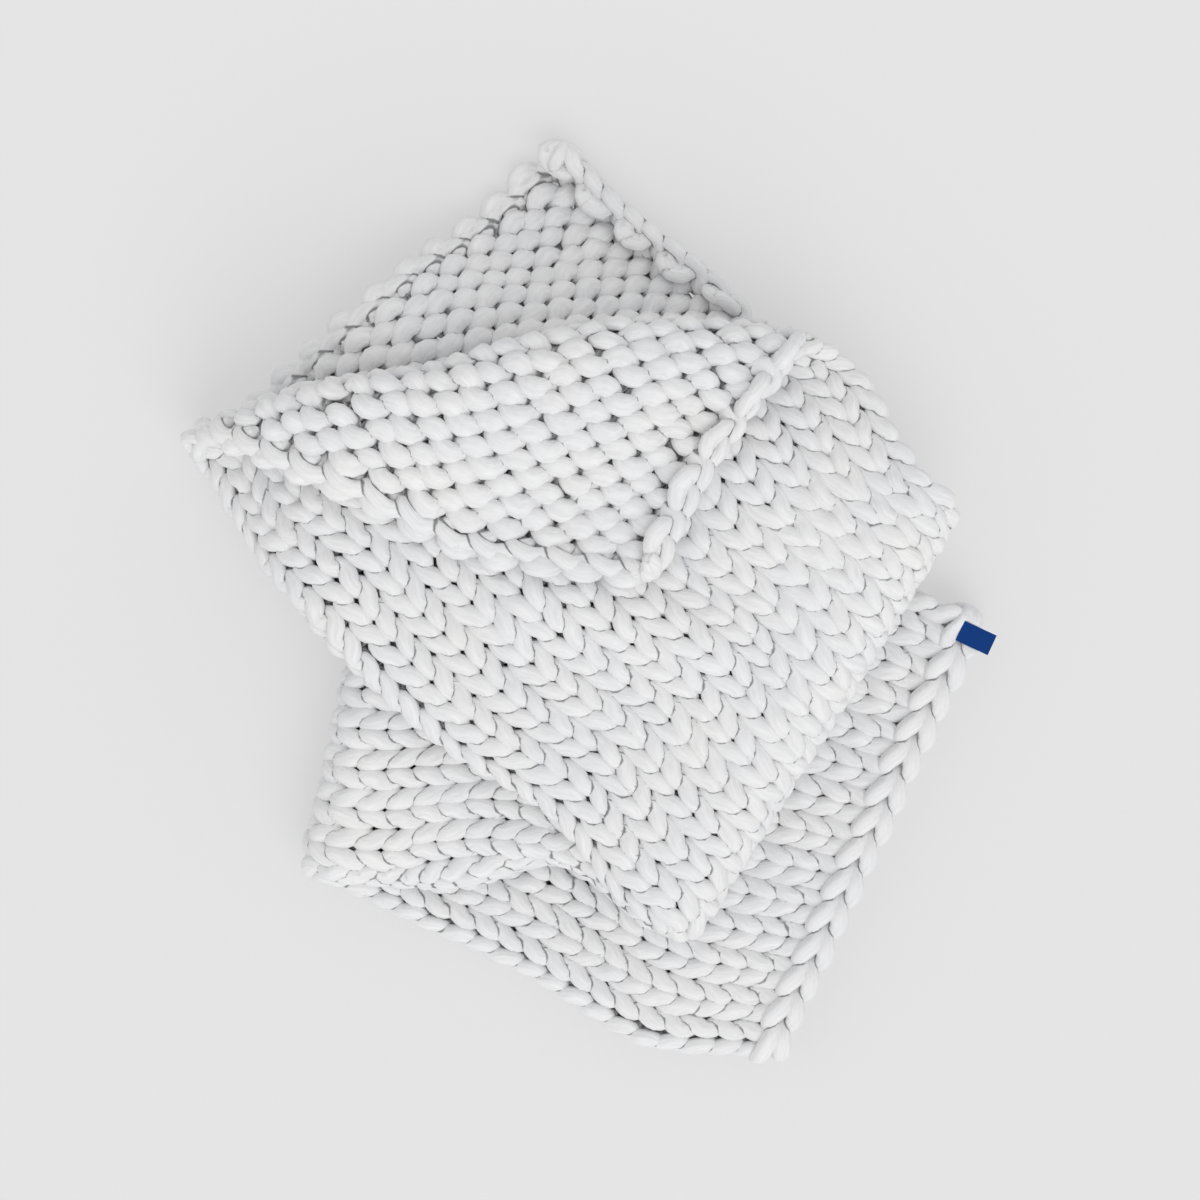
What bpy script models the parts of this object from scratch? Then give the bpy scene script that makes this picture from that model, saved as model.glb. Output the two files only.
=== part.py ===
"""A chunky hand-knitted weighted blanket, folded and laid on a floor.

The blanket is one sheet. It is folded in half along its length, knit side out, into a doubled
strip. The strip lies in three runs, one on the other, with a turn between each two. At its free
end the upper layer is peeled back over the top run, and shows its purl side.
"""

from math import cos, pi, radians, sin

import bmesh
import bpy
import numpy as np
from mathutils import Vector

# Driving dimensions, in metres
THICKNESS = 0.023        # of the knitted sheet
LAYER_PITCH = 0.028      # from the middle of one layer to the middle of the next
STRIP_WIDTH = 0.488      # from the lengthwise fold to the open side
TURN_RADIUS = LAYER_PITCH            # of the strip's middle, in the turn between two runs
FOLD_RADIUS = LAYER_PITCH / 2        # of the sheet's middle, in the lengthwise fold

# The strip's runs, from the bottom up. Each row is a line straight across the strip.
# Columns: x and y at the lengthwise fold, x and y at the open side, in millimetres.
RUNS = {
    "bottom": (
        (185, -441, 384, -15),
        (62, -430, 262, 40),
        (-60, -358, 135, 92),
        (-165, -310, 0, 150),
        (-240, -274, -131, 209),
    ),
    "middle": (
        (-240, -274, -131, 209),
        (-130, -262, -20, 209),
        (-25, -238, 95, 190),
        (64, -300, 318, 105),
    ),
    "top": (
        (64, -300, 318, 105),
        (-25, -190, 262, 212),
        (-130, -122, 178, 275),
        (-230, -35, 100, 340),
        (-315, 65, 30, 400),
        (-385, 165, -28, 466),
    ),
}

# The peel: the upper layer of the top run rolls back over this line
PEEL_AT = (-0.385, 0.128)
PEEL_ANGLE = radians(7.0)
PEEL_RADIUS = 0.026
PEEL_SETTLE = 0.110      # the length over which the flap sinks onto the layer below it
PEEL_LENGTH = 0.590      # from the lengthwise fold to the open side, along the line
CREST_BOW = 0.040        # how far the middle of the crest bows out past the line
CREST_LOFT = 0.012       # how much higher it stands there
CREST_REACH = 0.120      # over which both fade, to each side of the crest
FLAP_BOW = 0.012         # how far the middle of the flap's free edge bows out
FLAP_REACH = 0.160       # over which that grows
FLAP_PULL = (0.042, 0.086)  # how far its free corner is pulled, along the line and square to it

# Where a run reaches past what carries it, it sinks to the floor.
# Columns: a point on the edge of what carries it, the outward direction in degrees, and the
# length of the slope, in metres.
SLOPES = {
    "past the first turn": ((-0.295, -0.262), 167.0, 0.225),
    "past the middle run": ((0.095, 0.206), 80.0, 0.200),
    "past the bottom run": ((0.135, 0.108), 68.0, 0.220),
}

# A soft ridge in the upper layer of the top run
RIDGE_FROM = (-0.050, 0.004)
RIDGE_TO = (0.115, -0.040)
RIDGE_HEIGHT = 0.014
RIDGE_REACH = 0.034

# The grid that carries the sheet
ROWS_IN_RUN = 7
ROWS_IN_TURN = 7
COLUMNS_IN_LAYER = 19
COLUMNS_IN_FOLD = 6
PEEL_START_AT_FOLD = 0.90        # share of the top run, at the lengthwise fold
PEEL_START_AT_OPEN_SIDE = 0.34   # share of the top run, at the open side
ROWS_IN_PEEL = 15

# The label tab
LABEL_SIZE = (0.036, 0.022, 0.0012)
LABEL_CENTRE = (0.3915, -0.0360)
LABEL_ANGLE = radians(-25.0)
LABEL_CLEARANCE = 0.0003


def clear_scene():
    """Remove every object that the file opens with."""
    for item in list(bpy.data.objects):
        bpy.data.objects.remove(item, do_unlink=True)


def make_material(name, colour, roughness):
    """Return a plain Principled material."""
    material = bpy.data.materials.new(name)
    material.use_nodes = True
    shader = material.node_tree.nodes["Principled BSDF"]
    shader.inputs["Base Color"].default_value = (*colour, 1.0)
    shader.inputs["Roughness"].default_value = roughness
    shader.inputs["Metallic"].default_value = 0.0
    material.diffuse_color = (*colour, 1.0)
    return material


def smooth(share):
    """Ease a share from 0 to 1, level at both ends."""
    share = np.clip(share, 0.0, 1.0)
    return share * share * (3.0 - 2.0 * share)


def unit(vectors):
    """Scale vectors to length 1."""
    return vectors / np.linalg.norm(vectors, axis=-1, keepdims=True)


def curve_through(points, first_tangent, steps=12):
    """Join stations by cubic curves whose tangents are as long as the chord they serve."""
    tangents = np.empty_like(points)
    tangents[1:-1] = unit(points[2:] - points[:-2])
    tangents[0] = unit(points[1] - points[0])
    tangents[-1] = unit(points[-1] - points[-2])
    if first_tangent is not None:
        tangents[0] = first_tangent
    t = np.linspace(0.0, 1.0, steps, endpoint=False)[:, None, None]
    pieces = []
    for start, end, leave, arrive in zip(points[:-1], points[1:], tangents[:-1], tangents[1:]):
        chord = np.linalg.norm(end - start, axis=-1, keepdims=True)
        pieces.append(
            (2 * t**3 - 3 * t**2 + 1) * start
            + (t**3 - 2 * t**2 + t) * chord * leave
            + (3 * t**2 - 2 * t**3) * end
            + (t**3 - t**2) * chord * arrive
        )
    pieces.append(points[-1][None])
    return np.concatenate(pieces), tangents[-1]


def strip_lines(across):
    """Trace the middle of the doubled strip at each distance across it.

    Returns the points and the strip's normals as arrays of (along, across, xyz), and the first
    and last index of each run. A run is level; a turn is half a circle that also slides along
    its own line, as a strip does that meets the line at a slant.
    """
    share = (across / STRIP_WIDTH)[:, None]
    points = []
    normals = []
    ends = []
    start = None
    first_tangent = None
    count = 0
    for level, rows in enumerate(RUNS.values()):
        table = np.array(rows, float) * 0.001
        stations = table[:, None, :2] + (table[:, None, 2:] - table[:, None, :2]) * share
        if start is not None:
            stations[0] = start
        flat, last_tangent = curve_through(stations, first_tangent)
        height = np.full(flat.shape[:2] + (1,), 2 * LAYER_PITCH * level)
        side = 1.0 if level % 2 == 0 else -1.0
        upright = np.zeros(flat.shape[:2] + (3,))
        upright[..., 2] = side
        points.append(np.concatenate([flat, height], axis=-1))
        normals.append(upright)
        ends.append((count, count + len(flat) - 1))
        count += len(flat)
        if level == len(RUNS) - 1:
            break

        line = unit(table[-1, 2:] - table[-1, :2])
        outward = np.array([-line[1], line[0]]) * side
        slide = np.mean((last_tangent @ line) / (last_tangent @ outward))
        angle = np.linspace(0.0, pi, ROWS_IN_TURN * 3 + 1)[1:-1, None, None]
        turn = (
            stations[-1]
            + TURN_RADIUS * np.sin(angle) * outward
            + TURN_RADIUS * slide * angle * line
        )
        rise = 2 * LAYER_PITCH * level + TURN_RADIUS * (1 - np.cos(angle))
        rise = np.broadcast_to(rise, turn.shape[:2] + (1,))
        lean = np.empty(turn.shape[:2] + (3,))
        lean[..., :2] = -side * np.sin(angle) * outward
        lean[..., 2:] = side * np.cos(angle)
        points.append(np.concatenate([turn, rise], axis=-1))
        normals.append(lean)
        count += len(turn)
        start = stations[-1] + TURN_RADIUS * slide * pi * line
        first_tangent = last_tangent - 2 * (last_tangent @ outward)[:, None] * outward
    return np.concatenate(points), np.concatenate(normals), ends


def row_lengths(arc, ends, across):
    """List the distance along the strip of every grid row, one value for each column."""
    share = across / STRIP_WIDTH
    rows = []
    for level, (first, last) in enumerate(ends[:-1]):
        for step in np.arange(ROWS_IN_RUN) / ROWS_IN_RUN:
            rows.append(arc[first] + step * (arc[last] - arc[first]))
        next_first = ends[level + 1][0]
        for step in np.arange(ROWS_IN_TURN) / ROWS_IN_TURN:
            rows.append(arc[last] + step * (arc[next_first] - arc[last]))
    first, last = ends[-1]
    fan = PEEL_START_AT_FOLD + (PEEL_START_AT_OPEN_SIDE - PEEL_START_AT_FOLD) * share
    for step in np.arange(ROWS_IN_RUN) / ROWS_IN_RUN:
        rows.append(arc[first] + step * fan * (arc[last] - arc[first]))
    for step in np.linspace(0.0, 1.0, ROWS_IN_PEEL + 1):
        spread = step**1.5
        rows.append(arc[first] + (fan + spread * (1 - fan)) * (arc[last] - arc[first]))
    return np.array(rows)


def past_edge(x, y, name):
    """Return how far down a slope a place is, as a share from 0 to 1."""
    (edge_x, edge_y), degrees, length = SLOPES[name]
    past = (x - edge_x) * cos(radians(degrees)) + (y - edge_y) * sin(radians(degrees))
    return smooth(past / length)


def fall_of_top_run(x, y):
    """Return how far the top run sinks past the middle run and past the first turn."""
    turn = past_edge(x, y, "past the first turn")
    middle = past_edge(x, y, "past the middle run")
    return 2 * LAYER_PITCH * (turn + 1 - (1 - turn) * (1 - middle))


def fall_of_upper_runs(x, y):
    """Return how far the middle and top runs sink together past the bottom run."""
    turn = past_edge(x, y, "past the first turn")
    bottom = past_edge(x, y, "past the bottom run")
    return 2 * LAYER_PITCH * bottom * (1 - turn)


def lower(points, fall, base):
    """Lower points by the fall at their place, and lean the layers with its slope."""
    x = points[..., 0]
    y = points[..., 1]
    step = 0.001
    slope_x = (fall(x + step, y) - fall(x - step, y)) / (2 * step)
    slope_y = (fall(x, y + step) - fall(x, y - step)) / (2 * step)
    lean = unit(np.stack([slope_x, slope_y, np.ones_like(x)], axis=-1))
    above = points[..., 2:] - base
    return np.stack([x, y, base - fall(x, y)], axis=-1) + above * lean


def settle(points, level):
    """Let each run sink where it reaches past what carries it."""
    on_top = (level > 1.5)[..., None]
    carried = (level > 0.5)[..., None]
    points = np.where(on_top, lower(points, fall_of_top_run, 4 * LAYER_PITCH), points)
    return np.where(carried, lower(points, fall_of_upper_runs, 3 * LAYER_PITCH), points)


def peel_back(points, upper):
    """Roll the upper layer back over the peel line, then let the flap sink onto it.

    The crest bows out and stands higher in its middle. The flap's free edge bows out too, and
    its free corner is pulled aside.
    """
    line = np.array([cos(PEEL_ANGLE), sin(PEEL_ANGLE)])
    direction = np.array([-sin(PEEL_ANGLE), cos(PEEL_ANGLE)])
    along = (points[..., :2] - PEEL_AT) @ line
    past = (points[..., :2] - PEEL_AT) @ direction
    angle = np.clip(past / PEEL_RADIUS, 0.0, pi)
    beyond = np.maximum(past - pi * PEEL_RADIUS, 0.0)
    middle = np.sin(pi * np.clip(along / PEEL_LENGTH, 0.0, 1.0))
    crest = middle * smooth(1 + past / CREST_REACH) * (1 - smooth(beyond / CREST_REACH))
    flap = middle * smooth(beyond / FLAP_REACH)

    moved = np.where(past < 0, past, PEEL_RADIUS * np.sin(angle) - beyond)
    pull = np.clip(along / (PEEL_LENGTH * 0.75), 0.0, 1.2) ** 2.3 * smooth(beyond / FLAP_REACH)
    moved = moved + CREST_BOW * crest - FLAP_BOW * flap + FLAP_PULL[1] * pull
    rise = PEEL_RADIUS * (1 - np.cos(angle))
    rise = rise - (2 * PEEL_RADIUS - LAYER_PITCH) * smooth(beyond / PEEL_SETTLE)
    points[..., :2] += (upper * (moved - past))[..., None] * direction
    points[..., :2] += (upper * FLAP_PULL[0] * pull)[..., None] * line
    place = points[..., :2] - PEEL_AT
    middle = np.sin(pi * np.clip(place @ line / PEEL_LENGTH, 0.0, 1.0))
    loft = CREST_LOFT * middle * smooth(1 + place @ direction / CREST_REACH)
    points[..., 2] += upper * (rise + loft)


def ridge_height(x, y):
    """Return the height of the soft ridge at a place, fading across it and at its ends."""
    start = np.array(RIDGE_FROM)
    run = np.array(RIDGE_TO) - start
    length = np.linalg.norm(run)
    along = ((x - start[0]) * run[0] + (y - start[1]) * run[1]) / length
    aside = ((y - start[1]) * run[0] - (x - start[0]) * run[1]) / length
    ends = np.maximum(np.maximum(-along, along - length), 0.0)
    return RIDGE_HEIGHT * np.exp(-(aside**2 + ends**2) / RIDGE_REACH**2)


def sheet_points():
    """Place the middle of the sheet, as an array of (row, column, xyz)."""
    quarter = FOLD_RADIUS * pi / 2
    layer = np.linspace(quarter, quarter + STRIP_WIDTH, COLUMNS_IN_LAYER + 1)
    fold = np.linspace(-quarter, quarter, COLUMNS_IN_FOLD + 1)[1:-1]
    width = np.concatenate([-layer[::-1], fold, layer])
    angle = np.clip(width / FOLD_RADIUS, -pi / 2, pi / 2)
    in_fold = np.abs(width) < quarter
    across = np.where(in_fold, -FOLD_RADIUS * np.cos(angle), np.abs(width) - quarter)
    offset = FOLD_RADIUS * np.sin(angle)

    lines, normals, ends = strip_lines(across)
    steps = np.linalg.norm(np.diff(lines, axis=0), axis=-1)
    arc = np.concatenate([np.zeros((1, len(width))), np.cumsum(steps, axis=0)])
    rows = row_lengths(arc, ends, across)
    levels = np.interp(np.arange(len(lines)), np.ravel(ends), [0, 0, 1, 1, 2, 2])
    layered = lines + offset[:, None] * normals

    points = np.empty(rows.shape + (3,))
    level = np.empty(rows.shape)
    for column in range(len(width)):
        level[:, column] = np.interp(rows[:, column], arc[:, column], levels)
        for axis in range(3):
            points[:, column, axis] = np.interp(
                rows[:, column], arc[:, column], layered[:, column, axis]
            )

    on_top = level > 2.0 - 1e-6
    upper = smooth(offset / LAYER_PITCH + 0.5)[None, :] * on_top
    peel_back(points, upper)
    points[..., 2] += upper * ridge_height(points[..., 0], points[..., 1])
    return settle(points, level)


def build_blanket(collection, material):
    """Build the sheet as a grid laid into its folds, then give it its thickness."""
    points = sheet_points()
    points[..., 2] += FOLD_RADIUS + THICKNESS / 2
    rows, columns = points.shape[:2]
    bm = bmesh.new()
    grid = bmesh.ops.create_grid(bm, x_segments=columns - 1, y_segments=rows - 1, size=1.0)
    for vert in grid["verts"]:
        column = round((vert.co.x + 1.0) / 2.0 * (columns - 1))
        row = round((vert.co.y + 1.0) / 2.0 * (rows - 1))
        vert.co = points[row, column]
    mesh = bpy.data.meshes.new("blanket")
    bm.to_mesh(mesh)
    bm.free()
    mesh.materials.append(material)
    blanket = bpy.data.objects.new("blanket", mesh)
    collection.objects.link(blanket)
    solidify = blanket.modifiers.new("thickness", "SOLIDIFY")
    solidify.thickness = THICKNESS
    solidify.offset = 0.0
    solidify.use_even_offset = True
    solidify.use_quality_normals = True
    return blanket


def build_label(collection, material):
    """Build the woven tab that is sewn on at the corner of the bind-off edge."""
    bpy.ops.mesh.primitive_cube_add(size=1.0)
    label = bpy.context.object
    label.name = "label_tab"
    label.data.name = "label_tab"
    label.data.transform(np.diag([*LABEL_SIZE, 1.0]))
    top = 2 * FOLD_RADIUS + THICKNESS
    label.location = (*LABEL_CENTRE, top + LABEL_CLEARANCE + LABEL_SIZE[2] / 2)
    label.rotation_euler = (0.0, 0.0, LABEL_ANGLE)
    label.data.materials.append(material)
    for owner in list(label.users_collection):
        owner.objects.unlink(label)
    collection.objects.link(label)
    return label


def centre_on_origin(objects):
    """Move the objects together, so that their common box is centred over the origin."""
    bpy.context.view_layer.update()
    graph = bpy.context.evaluated_depsgraph_get()
    corners = []
    for item in objects:
        solid = item.evaluated_get(graph)
        corners += [item.matrix_world @ Vector(corner) for corner in solid.bound_box]
    middle_x = (min(c.x for c in corners) + max(c.x for c in corners)) / 2
    middle_y = (min(c.y for c in corners) + max(c.y for c in corners)) / 2
    for item in objects:
        item.location.x -= middle_x
        item.location.y -= middle_y


clear_scene()
weighted_blanket = bpy.data.collections.new("weighted_blanket")
bpy.context.scene.collection.children.link(weighted_blanket)
yarn = make_material("cotton_yarn", (0.80, 0.80, 0.81), 0.9)
tape = make_material("woven_tape", (0.007, 0.065, 0.29), 0.7)
blanket = build_blanket(weighted_blanket, yarn)
label_tab = build_label(weighted_blanket, tape)
centre_on_origin([blanket, label_tab])
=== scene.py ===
"""A chunky hand-knitted weighted blanket, folded and laid on a floor.

Every stitch is modelled: thick tubular yarn runs in courses across the sheet, and the sheet
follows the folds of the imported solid.
"""

from math import cos, pi, radians, sin

import bpy
import numpy as np
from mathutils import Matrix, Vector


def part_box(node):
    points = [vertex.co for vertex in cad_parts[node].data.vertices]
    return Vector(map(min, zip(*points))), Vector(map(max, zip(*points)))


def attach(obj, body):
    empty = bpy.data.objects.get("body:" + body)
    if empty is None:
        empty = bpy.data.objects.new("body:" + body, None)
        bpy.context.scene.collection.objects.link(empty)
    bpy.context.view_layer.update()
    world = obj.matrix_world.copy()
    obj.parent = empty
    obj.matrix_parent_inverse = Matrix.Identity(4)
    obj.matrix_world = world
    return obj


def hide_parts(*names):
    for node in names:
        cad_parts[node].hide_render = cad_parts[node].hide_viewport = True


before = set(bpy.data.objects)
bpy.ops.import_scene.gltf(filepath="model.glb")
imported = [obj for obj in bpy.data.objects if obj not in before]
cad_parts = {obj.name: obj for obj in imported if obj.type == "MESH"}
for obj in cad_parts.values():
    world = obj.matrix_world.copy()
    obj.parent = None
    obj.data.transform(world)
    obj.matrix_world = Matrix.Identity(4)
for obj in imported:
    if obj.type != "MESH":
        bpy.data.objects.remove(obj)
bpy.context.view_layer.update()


# ---------------------------------------------------------------------------------------------
# The body of the blanket
# One sheet of plain knit in thick tubular cotton yarn, hand-knitted. It is folded in half along
# its length, laid to and fro in three runs, and peeled back at its free end. Each course loops
# through the one before it, and its yarn turns round at the selvedge into the next course.
# ---------------------------------------------------------------------------------------------

# The folds come first: they place the middle of the sheet, and the yarn is carried on it
LAYER_PITCH = 0.028      # from the middle of one layer to the middle of the next
STRIP_WIDTH = 0.488      # from the lengthwise fold to the open side
THICKNESS = 0.023        # of the knitted sheet
TURN_RADIUS = LAYER_PITCH
FOLD_RADIUS = LAYER_PITCH / 2
QUARTER_FOLD = FOLD_RADIUS * pi / 2
HALF_WIDTH = STRIP_WIDTH + QUARTER_FOLD
SHEET_LENGTH = 1.66

MILLIMETRE = 0.001

# Each row is a line straight across the doubled strip.
# Columns: x and y at the lengthwise fold, x and y at the open side, in millimetres.
RUNS = {
    "bottom": (
        (185, -441, 384, -15),
        (62, -430, 262, 40),
        (-60, -358, 135, 92),
        (-165, -310, 0, 150),
        (-240, -274, -131, 209),
    ),
    "middle": (
        (-240, -274, -131, 209),
        (-130, -262, -20, 209),
        (-25, -238, 95, 190),
        (64, -300, 318, 105),
    ),
    "top": (
        (64, -300, 318, 105),
        (-25, -190, 262, 212),
        (-130, -122, 178, 275),
        (-230, -35, 100, 340),
        (-315, 65, 30, 400),
        (-385, 165, -28, 466),
    ),
}

# The upper layer of the top run rolls back over this line
PEEL_AT = (-0.385, 0.128)
PEEL_ANGLE = radians(7.0)
PEEL_RADIUS = 0.026
PEEL_SETTLE = 0.110
PEEL_LENGTH = 0.590      # from the lengthwise fold to the open side, along the line
CREST_BOW = 0.040        # how far the middle of the crest bows out past the line
CREST_LOFT = 0.012       # how much higher it stands there
CREST_REACH = 0.120      # over which both fade, to each side of the crest
FLAP_BOW = 0.012         # how far the middle of the flap's free edge bows out
FLAP_REACH = 0.160       # over which that grows
FLAP_PULL = (0.042, 0.086)  # how far its free corner is pulled, along the line and square to it
PULL_FULL_AT = 0.75      # share of the peel's length at which the pull reaches those values
PULL_MOST = 1.2          # share of that length at which it stops growing
PULL_POWER = 2.3         # how steeply it grows

# Where a run reaches past what carries it, it sinks to the floor.
# Columns: a point on the edge of what carries it, the outward direction in degrees, and the
# length of the slope, in metres.
SLOPES = {
    "past the first turn": ((-0.295, -0.262), 167.0, 0.225),
    "past the middle run": ((0.095, 0.206), 80.0, 0.200),
    "past the bottom run": ((0.135, 0.108), 68.0, 0.220),
}

# A soft ridge in the upper layer of the top run
RIDGE_FROM = (-0.050, 0.004)
RIDGE_TO = (0.115, -0.040)
RIDGE_HEIGHT = 0.014
RIDGE_REACH = 0.034

# The label's middle before the object was centred on the origin
LABEL_CENTRE = (0.3915, -0.0360)
LABEL_SIZE = (0.036, 0.022)
LABEL_ANGLE = radians(-25)


def smooth(share):
    """Ease a share from 0 to 1: three of its square less two of its cube."""
    share = np.clip(share, 0.0, 1.0)
    return share * share * (3.0 - 2.0 * share)


def unit(vectors):
    """Scale vectors to length 1, and leave a vector of no length as it is."""
    return vectors / np.maximum(np.linalg.norm(vectors, axis=-1, keepdims=True), 1e-12)


def curve_through(points, first_tangent, steps=12):
    """Join stations by cubic Hermite curves whose tangents are as long as the chord."""
    tangents = np.empty_like(points)
    tangents[1:-1] = unit(points[2:] - points[:-2])
    tangents[0] = unit(points[1] - points[0])
    tangents[-1] = unit(points[-1] - points[-2])
    if first_tangent is not None:
        tangents[0] = first_tangent
    t = np.linspace(0.0, 1.0, steps, endpoint=False)[:, None, None]
    pieces = []
    for start, end, leave, arrive in zip(points[:-1], points[1:], tangents[:-1], tangents[1:]):
        chord = np.linalg.norm(end - start, axis=-1, keepdims=True)
        pieces.append(
            (2 * t**3 - 3 * t**2 + 1) * start
            + (t**3 - 2 * t**2 + t) * chord * leave
            + (3 * t**2 - 2 * t**3) * end
            + (t**3 - t**2) * chord * arrive
        )
    pieces.append(points[-1][None])
    return np.concatenate(pieces), tangents[-1]


def strip_lines(across):
    """Trace the middle of the doubled strip at each distance across it.

    A run is level. A turn is half a circle about a line across the strip, and slides along
    that line as far as the strip meets it at a slant.
    """
    share = (across / STRIP_WIDTH)[:, None]
    points = []
    normals = []
    ends = []
    start = None
    first_tangent = None
    count = 0
    for level, rows in enumerate(RUNS.values()):
        table = np.array(rows, float) * MILLIMETRE
        stations = table[:, None, :2] + (table[:, None, 2:] - table[:, None, :2]) * share
        if start is not None:
            stations[0] = start
        flat, last_tangent = curve_through(stations, first_tangent)
        height = np.full(flat.shape[:2] + (1,), 2 * LAYER_PITCH * level)
        side = 1.0 if level % 2 == 0 else -1.0
        upright = np.zeros(flat.shape[:2] + (3,))
        upright[..., 2] = side
        points.append(np.concatenate([flat, height], axis=-1))
        normals.append(upright)
        ends.append((count, count + len(flat) - 1))
        count += len(flat)
        if level == len(RUNS) - 1:
            break

        line = unit(table[-1, 2:] - table[-1, :2])
        outward = np.array([-line[1], line[0]]) * side
        slide = np.mean((last_tangent @ line) / (last_tangent @ outward))
        angle = np.linspace(0.0, pi, 22)[1:-1, None, None]
        turn = (
            stations[-1]
            + TURN_RADIUS * np.sin(angle) * outward
            + TURN_RADIUS * slide * angle * line
        )
        rise = 2 * LAYER_PITCH * level + TURN_RADIUS * (1 - np.cos(angle))
        rise = np.broadcast_to(rise, turn.shape[:2] + (1,))
        lean = np.empty(turn.shape[:2] + (3,))
        lean[..., :2] = -side * np.sin(angle) * outward
        lean[..., 2:] = side * np.cos(angle)
        points.append(np.concatenate([turn, rise], axis=-1))
        normals.append(lean)
        count += len(turn)
        start = stations[-1] + TURN_RADIUS * slide * pi * line
        first_tangent = last_tangent - 2 * (last_tangent @ outward)[:, None] * outward
    return np.concatenate(points), np.concatenate(normals), ends


def past_edge(x, y, name):
    """Return how far down a slope a place is, as a share from 0 to 1."""
    (edge_x, edge_y), degrees, length = SLOPES[name]
    past = (x - edge_x) * cos(radians(degrees)) + (y - edge_y) * sin(radians(degrees))
    return smooth(past / length)


def fall_of_top_run(x, y):
    """Return how far the top run sinks past the middle run and past the first turn."""
    turn = past_edge(x, y, "past the first turn")
    middle = past_edge(x, y, "past the middle run")
    return 2 * LAYER_PITCH * (turn + 1 - (1 - turn) * (1 - middle))


def fall_of_upper_runs(x, y):
    """Return how far the middle and top runs sink together past the bottom run."""
    turn = past_edge(x, y, "past the first turn")
    bottom = past_edge(x, y, "past the bottom run")
    return 2 * LAYER_PITCH * bottom * (1 - turn)


def lower(points, fall, base):
    """Lower points by the fall at their place, and lean the layers with its slope."""
    x = points[..., 0]
    y = points[..., 1]
    step = 0.001
    slope_x = (fall(x + step, y) - fall(x - step, y)) / (2 * step)
    slope_y = (fall(x, y + step) - fall(x, y - step)) / (2 * step)
    lean = unit(np.stack([slope_x, slope_y, np.ones_like(x)], axis=-1))
    above = points[..., 2:] - base
    return np.stack([x, y, base - fall(x, y)], axis=-1) + above * lean


def settle(points, level):
    """Let each run sink where it reaches past what carries it."""
    on_top = (level > 1.5)[..., None]
    carried = (level > 0.5)[..., None]
    points = np.where(on_top, lower(points, fall_of_top_run, 4 * LAYER_PITCH), points)
    return np.where(carried, lower(points, fall_of_upper_runs, 3 * LAYER_PITCH), points)


def peel_back(points, upper):
    """Roll the upper layer back over the peel line, then let the flap sink onto it.

    Past the line the layer goes half round a circle and then straight back. The crest bows out
    and stands higher in its middle by half a sine. The flap's free edge bows out too, and its
    free corner is pulled aside by a power of the distance along the line.
    """
    line = np.array([cos(PEEL_ANGLE), sin(PEEL_ANGLE)])
    direction = np.array([-sin(PEEL_ANGLE), cos(PEEL_ANGLE)])
    along = (points[..., :2] - PEEL_AT) @ line
    past = (points[..., :2] - PEEL_AT) @ direction
    angle = np.clip(past / PEEL_RADIUS, 0.0, pi)
    beyond = np.maximum(past - pi * PEEL_RADIUS, 0.0)
    middle = np.sin(pi * np.clip(along / PEEL_LENGTH, 0.0, 1.0))
    crest = middle * smooth(1 + past / CREST_REACH) * (1 - smooth(beyond / CREST_REACH))
    flap = middle * smooth(beyond / FLAP_REACH)

    moved = np.where(past < 0, past, PEEL_RADIUS * np.sin(angle) - beyond)
    pull = np.clip(along / (PEEL_LENGTH * PULL_FULL_AT), 0.0, PULL_MOST) ** PULL_POWER
    pull = pull * smooth(beyond / FLAP_REACH)
    moved = moved + CREST_BOW * crest - FLAP_BOW * flap + FLAP_PULL[1] * pull
    rise = PEEL_RADIUS * (1 - np.cos(angle))
    rise = rise - (2 * PEEL_RADIUS - LAYER_PITCH) * smooth(beyond / PEEL_SETTLE)
    points[..., :2] += (upper * (moved - past))[..., None] * direction
    points[..., :2] += (upper * FLAP_PULL[0] * pull)[..., None] * line
    place = points[..., :2] - PEEL_AT
    middle = np.sin(pi * np.clip(place @ line / PEEL_LENGTH, 0.0, 1.0))
    loft = CREST_LOFT * middle * smooth(1 + place @ direction / CREST_REACH)
    points[..., 2] += upper * (rise + loft)


def ridge_height(x, y):
    """Return the height of the soft ridge at a place: a bell across it and at its ends."""
    start = np.array(RIDGE_FROM)
    run = np.array(RIDGE_TO) - start
    length = np.linalg.norm(run)
    along = ((x - start[0]) * run[0] + (y - start[1]) * run[1]) / length
    aside = ((y - start[1]) * run[0] - (x - start[0]) * run[1]) / length
    ends = np.maximum(np.maximum(-along, along - length), 0.0)
    return RIDGE_HEIGHT * np.exp(-(aside**2 + ends**2) / RIDGE_REACH**2)


# The sheet is worked out once on a fine net, from a little outside each of its edges
NET_MARGIN = 0.060
NET_COLUMNS = 281
NET_ROWS = 561
net_width = np.linspace(-HALF_WIDTH - NET_MARGIN, HALF_WIDTH + NET_MARGIN, NET_COLUMNS)
net_length = np.linspace(-NET_MARGIN, SHEET_LENGTH + NET_MARGIN, NET_ROWS)


def space_evenly(points, places, low, high):
    """Slide each line of points along itself until it lies evenly by true length.

    places holds the material place of each row, and low and high are those of the two edges.
    """
    steps = np.linalg.norm(np.diff(points, axis=0), axis=-1)
    length = np.concatenate([np.zeros((1, points.shape[1])), np.cumsum(steps, axis=0)])
    spaced = np.empty_like(points)
    for line in range(points.shape[1]):
        start, end = np.interp([low, high], places, length[:, line])
        wanted = start + (places - low) / (high - low) * (end - start)
        for axis in range(3):
            spaced[:, line, axis] = np.interp(wanted, length[:, line], points[:, line, axis])
    return spaced


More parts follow.
